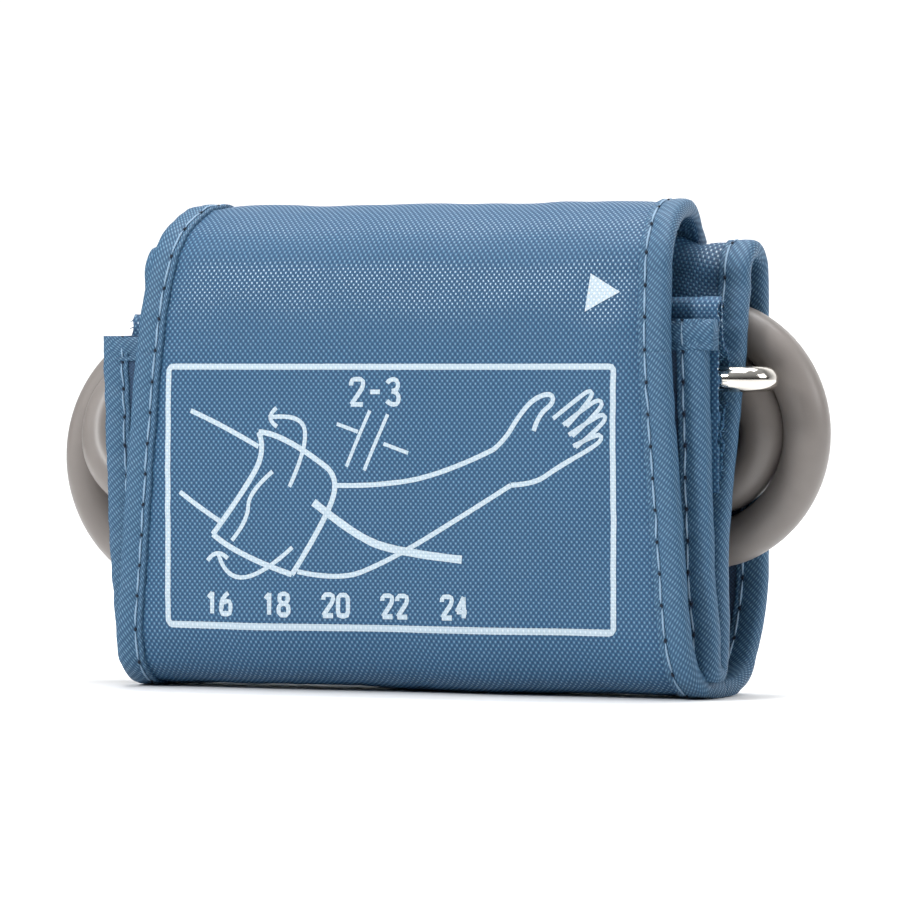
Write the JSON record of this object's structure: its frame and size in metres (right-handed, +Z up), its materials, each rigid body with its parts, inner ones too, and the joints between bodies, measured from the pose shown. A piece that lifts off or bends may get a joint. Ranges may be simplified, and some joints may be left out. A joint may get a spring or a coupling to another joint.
{
  "type": "blood pressure cuff",
  "caption": "Small D-ring upper-arm pressure cuff of bound nylon, wrapped flat round its coiled hose, with wire ring, bladder and air plug.",
  "frame": {"origin": "on the surface it stands on, under the middle of the packet", "axes": "+X along the packet towards the ring's free end, +Y from the printed front panel to the back, +Z up"},
  "size_m": [0.1376, 0.0314, 0.0812],
  "materials": {
    "cover_nylon": "blue oxford nylon, skin side, satin",
    "lining_nylon": "darker blue brushed nylon, loop side",
    "binding_tape": "blue bias-cut nylon tape",
    "bladder_film": "soft TPU film",
    "casing_nylon": "blue oxford nylon, folded, raw ends",
    "nickel_wire": "bright nickel-plated steel wire",
    "loop_pile": "brushed loop pile",
    "hook_tape": "moulded hook tape",
    "hose_grey": "warm grey satin PVC hose",
    "port_plastic": "grey moulded nipple",
    "plug_plastic": "light grey moulded air plug"
  },
  "bodies": {
    "roll": {"air_plug": "plug_plastic", "back_panel_binding": "binding_tape", "back_panel_cover": "cover_nylon", "back_panel_lining": "lining_nylon", "base_fold_binding": "binding_tape", "base_fold_cover": "cover_nylon", "base_fold_lining": "lining_nylon", "hose_coil": "hose_grey", "hose_lead": "hose_grey", "hose_plug_end": "hose_grey", "hose_port": "port_plastic", "inner_panel_binding": "binding_tape", "inner_panel_bladder": "bladder_film", "inner_panel_cover": "cover_nylon", "inner_panel_lining": "lining_nylon", "loop_patch": "loop_pile", "lower_fold_binding": "binding_tape", "lower_fold_bladder": "bladder_film", "lower_fold_cover": "cover_nylon", "lower_fold_lining": "lining_nylon", "ring_casing": "casing_nylon", "ring_end_binding": "binding_tape", "ring_end_bladder": "bladder_film", "ring_end_cover": "cover_nylon", "ring_end_lining": "lining_nylon", "upper_fold_binding": "binding_tape", "upper_fold_cover": "cover_nylon", "upper_fold_lining": "lining_nylon"},
    "front_panel": {"front_panel_binding": "binding_tape", "front_panel_cover": "cover_nylon", "front_panel_lining": "lining_nylon"},
    "closing_flap": {"closing_flap_binding": "binding_tape", "closing_flap_cover": "cover_nylon", "closing_flap_lining": "lining_nylon", "hook_patch": "hook_tape"},
    "ring": {"d_ring": "nickel_wire"}
  },
  "joints": [
    {"name": "front_fold", "type": "hinge", "parent": "roll", "child": "front_panel", "pos_m": [0, -0.015, 0.014], "axis": [1, 0, 0], "range_deg": [0, 90]},
    {"name": "flap_fold", "type": "hinge", "parent": "front_panel", "child": "closing_flap", "pos_m": [0, -0.0123, 0.06735], "axis": [1, 0, 0], "range_deg": [0, 75]},
    {"name": "ring_swing", "type": "hinge", "parent": "roll", "child": "ring", "pos_m": [0, -0.0048, 0.0518], "axis": [-1, 0, 0], "range_deg": [0, 30]}
  ]
}
